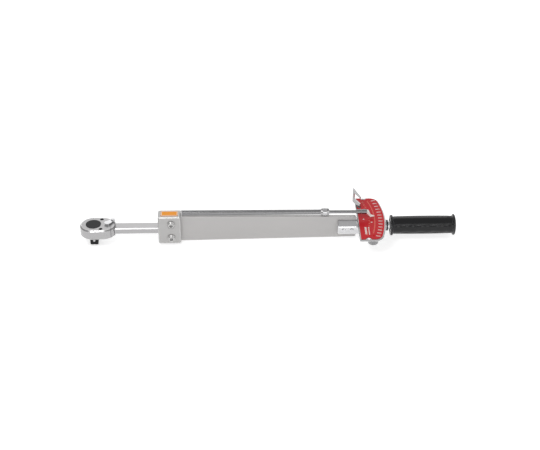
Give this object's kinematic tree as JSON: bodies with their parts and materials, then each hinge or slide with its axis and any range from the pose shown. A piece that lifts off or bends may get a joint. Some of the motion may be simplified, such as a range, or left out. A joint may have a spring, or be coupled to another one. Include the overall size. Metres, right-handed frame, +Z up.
{
  "type": "torque wrench",
  "caption": "Beam torque wrench: ratchet head with a square drive, flat spring beam, pointer tube over a curved scale plate, and a straight grip.",
  "frame": {"origin": "on the drive axis at the shoulder where a socket seats", "axes": "+X along the wrench from head to grip, +Z up out of the head's cover side, the square points to -Z"},
  "size_m": [0.5989, 0.125, 0.0643],
  "materials": {
    "satin_chrome": "satin nickel-chrome plate",
    "bright_steel": "polished plate",
    "spring_steel": "satin ground spring steel",
    "black_steel": "black oxide",
    "orange_label": "orange enamel plate, bare",
    "red_paint": "red enamel with white graduation",
    "white_paint": "white enamel",
    "black_vinyl": "dipped vinyl grip"
  },
  "bodies": {
    "head": {"ratchet_housing": "satin_chrome", "ratchet_cover": "satin_chrome", "cover_screws": "black_steel", "wheel_washer": "spring_steel", "clamp_block": "satin_chrome", "tongue_dowel": "bright_steel", "clamp_screws": "bright_steel", "clamp_nuts": "bright_steel", "label_plate": "orange_label", "spring_beam": "spring_steel", "pointer_anchor": "bright_steel", "pointer_tube": "satin_chrome", "pointer_rod": "bright_steel", "pointer_sleeve": "bright_steel", "pointer_blade": "white_paint"},
    "drive": {"drive_spindle": "black_steel", "detent_spring": "bright_steel"},
    "detent": {"detent_ball": "bright_steel"},
    "pawl_body": {"pawl": "black_steel"},
    "lever": {"reversing_lever": "bright_steel"},
    "collar": {"zero_collar": "bright_steel"},
    "tail": {"handle_socket": "bright_steel", "socket_pins": "bright_steel", "handle_shaft": "bright_steel", "shaft_collar": "black_steel", "grip_core": "spring_steel", "end_screw": "bright_steel", "grip": "black_vinyl", "scale_plate": "satin_chrome", "guide_ear": "satin_chrome", "plate_rivets": "bright_steel", "seat_screws": "bright_steel"},
    "scale": {"scale_face": "red_paint", "zero_stud": "bright_steel", "knob_washer": "bright_steel"},
    "knob": {"zero_knob": "bright_steel"}
  },
  "joints": [
    {"name": "beam_flex", "type": "hinge", "parent": "head", "child": "tail", "pos_m": [0.2664, 0, 0.011], "axis": [0, 0, 1], "range_deg": [-16, 16], "stiffness_Nm_per_rad": 424, "deforming": ["spring_beam"]},
    {"name": "drive_turn", "type": "hinge", "parent": "head", "child": "drive", "pos_m": [0, 0, 0.011], "axis": [0, 0, 1], "continuous": true},
    {"name": "ball_press", "type": "slide", "parent": "drive", "child": "detent", "axis": [0, 1, 0], "range_m": [0, 0.0009], "stiffness_N_per_m": 1500, "springref_m": -0.001, "deforming": ["detent_spring"]},
    {"name": "lever_flip", "type": "hinge", "parent": "head", "child": "lever", "pos_m": [0.0225, 0, 0.011], "axis": [0, 0, 1], "range_deg": [-100, 0]},
    {"name": "pawl_rock", "type": "hinge", "parent": "head", "child": "pawl_body", "pos_m": [0.0225, 0, 0.011], "axis": [0, 0, 1], "range_deg": [-12, 0]},
    {"name": "collar_turn", "type": "hinge", "parent": "head", "child": "collar", "pos_m": [0.3682, 0, 0.03748], "axis": [1, 0, -0.0066], "continuous": true},
    {"name": "scale_zero", "type": "hinge", "parent": "tail", "child": "scale", "pos_m": [0.2664, 0, 0.011], "axis": [0, 0, 1], "range_deg": [-0.5, 0.5]},
    {"name": "knob_turn", "type": "hinge", "parent": "scale", "child": "knob", "pos_m": [0.44178, -0.04864, 0.016], "axis": [0, 0, 1], "continuous": true}
  ],
  "couplings": [
    {"joint": "pawl_rock", "follows": "lever_flip", "ratio": 0.12}
  ]
}
